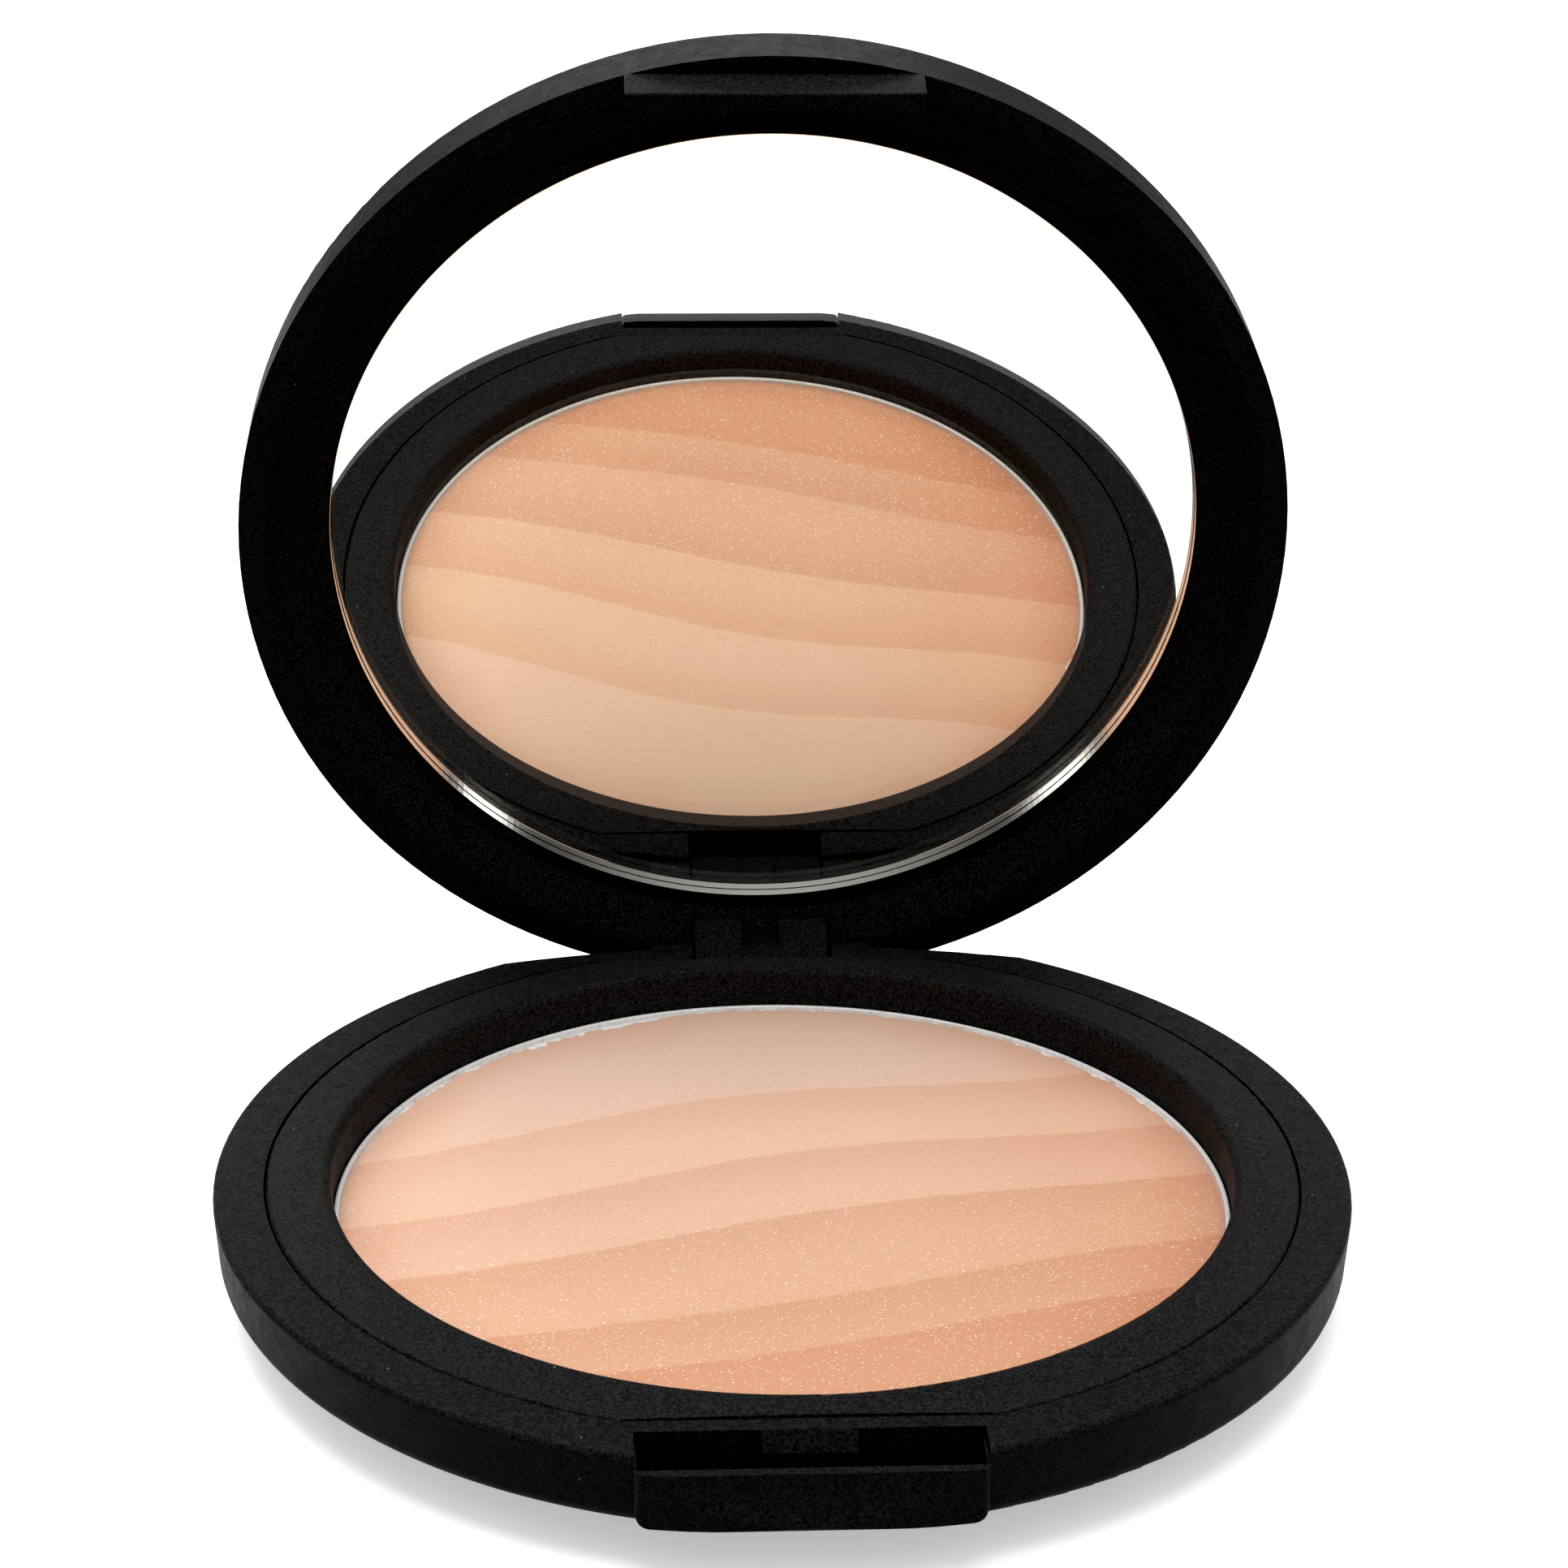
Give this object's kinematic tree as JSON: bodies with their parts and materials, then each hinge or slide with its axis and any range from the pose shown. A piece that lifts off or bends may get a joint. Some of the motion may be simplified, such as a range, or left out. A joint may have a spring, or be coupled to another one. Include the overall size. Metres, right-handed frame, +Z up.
{
  "type": "powder compact",
  "caption": "Round pressed-powder compact with a hinged lid, a mirror, a snap tab and a banded powder cake in a metal pan.",
  "frame": {"origin": "centre of the flat foot, on the surface the compact stands on", "axes": "+Z up, +X to the right, -Y towards the latch at the front, +Y towards the hinge at the rear"},
  "size_m": [0.074, 0.0801, 0.0766],
  "materials": {
    "black_plastic": "fine matte, soft-touch",
    "black_plastic_insert": "fine matte",
    "pan_metal": "satin, powder-dusted",
    "powder": "pressed powder in diagonal shades, fine shimmer",
    "adhesive": "clear to milky",
    "label": "blank satin film",
    "pin_steel": "drawn wire",
    "glass": "clear float glass with a ground edge",
    "mirror": "silvered"
  },
  "bodies": {
    "base": {"base_shell": "black_plastic", "base_insert": "black_plastic_insert", "powder_pan": "pan_metal", "pressed_powder": "powder", "pan_adhesive": "adhesive", "base_label": "label", "hinge_pin": "pin_steel"},
    "lid": {"lid_shell": "black_plastic", "mirror_glass": "glass", "mirror_silvering": "mirror", "mirror_adhesive": "adhesive"}
  },
  "joints": [
    {"name": "lid_hinge", "type": "hinge", "parent": "base", "child": "lid", "pos_m": [0, 0.0347, 0.005], "axis": [-1, 0, 0], "range_deg": [-78, 27]}
  ]
}
